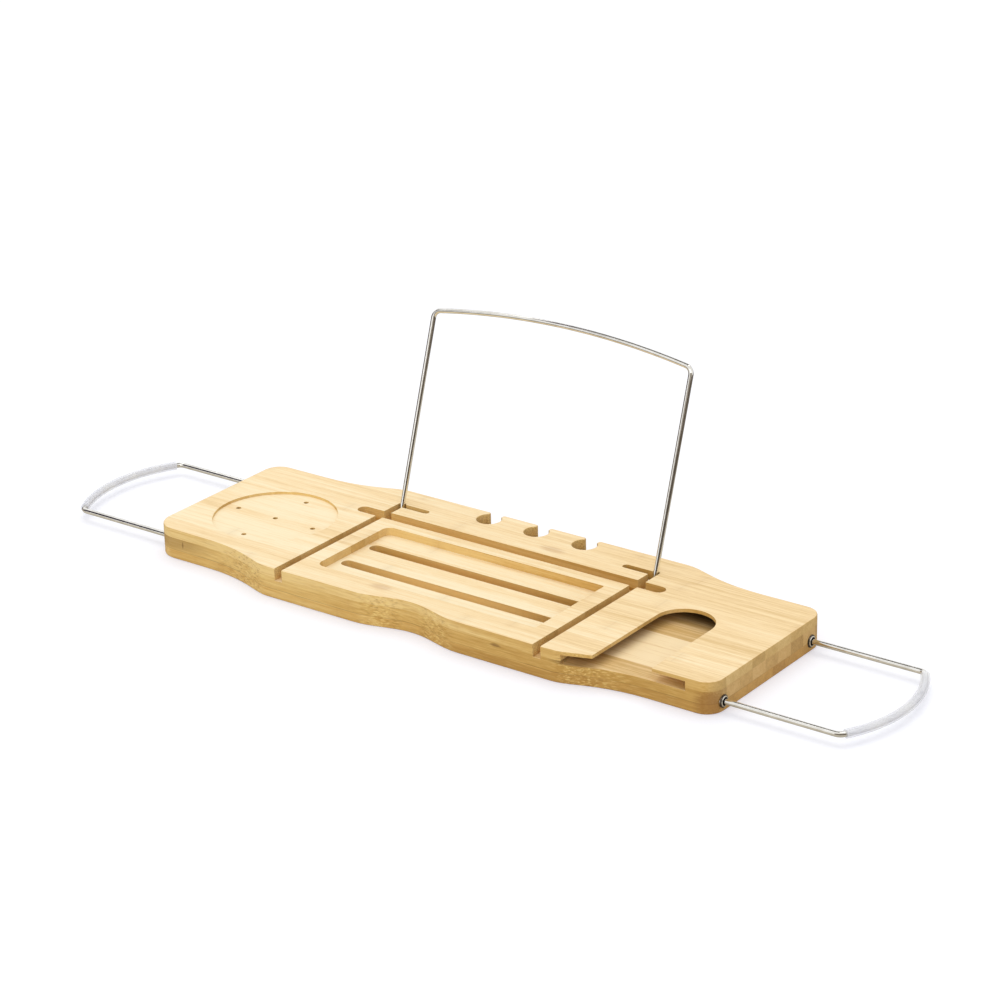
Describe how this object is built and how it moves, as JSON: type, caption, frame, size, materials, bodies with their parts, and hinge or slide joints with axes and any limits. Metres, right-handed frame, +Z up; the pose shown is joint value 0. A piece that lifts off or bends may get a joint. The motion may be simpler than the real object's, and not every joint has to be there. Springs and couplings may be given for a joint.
{
  "type": "bath caddy",
  "caption": "Laminated bamboo bath caddy with sliding wire rails, a folding wire book stand, a tray recess, a round dish, a wine glass slot and keyhole notches.",
  "frame": {"origin": "on the flat underside of the board, midway between the two drain slots and between the stand's legs", "axes": "+X along the board to the wine glass slot's end, +Y to the back edge with the notches, +Z up"},
  "size_m": [0.9224, 0.2551, 0.2267],
  "materials": {
    "pale_bamboo": "satin clear lacquer",
    "honey_bamboo": "satin clear lacquer",
    "dark_bamboo": "satin clear lacquer",
    "chromed_wire": "polished",
    "clear_vinyl": "clear, soft",
    "plain_steel": "turned"
  },
  "bodies": {
    "board": {"bottom_ply": "dark_bamboo", "core_ply": "honey_bamboo", "top_ply_frame": "pale_bamboo", "top_ply_tray_panel": "pale_bamboo", "ferrule_left_front": "chromed_wire", "ferrule_left_back": "chromed_wire", "ferrule_right_front": "chromed_wire", "ferrule_right_back": "chromed_wire"},
    "left_slide_rail": {"left_rail": "chromed_wire", "left_rail_sleeve": "clear_vinyl", "stop_collar_left_front": "plain_steel", "stop_collar_left_back": "plain_steel"},
    "right_slide_rail": {"right_rail": "chromed_wire", "right_rail_sleeve": "clear_vinyl", "stop_collar_right_front": "plain_steel", "stop_collar_right_back": "plain_steel"},
    "stand": {"book_stand": "chromed_wire"}
  },
  "joints": [
    {"name": "left_rail_slide", "type": "slide", "parent": "board", "child": "left_slide_rail", "axis": [1, 0, 0], "range_m": [0, 0.104]},
    {"name": "right_rail_slide", "type": "slide", "parent": "board", "child": "right_slide_rail", "axis": [1, 0, 0], "range_m": [-0.104, 0]},
    {"name": "stand_fold", "type": "hinge", "parent": "board", "child": "stand", "pos_m": [0, 0.1023, 0.0212], "axis": [1, 0, 0], "range_deg": [0, 108.3]}
  ]
}
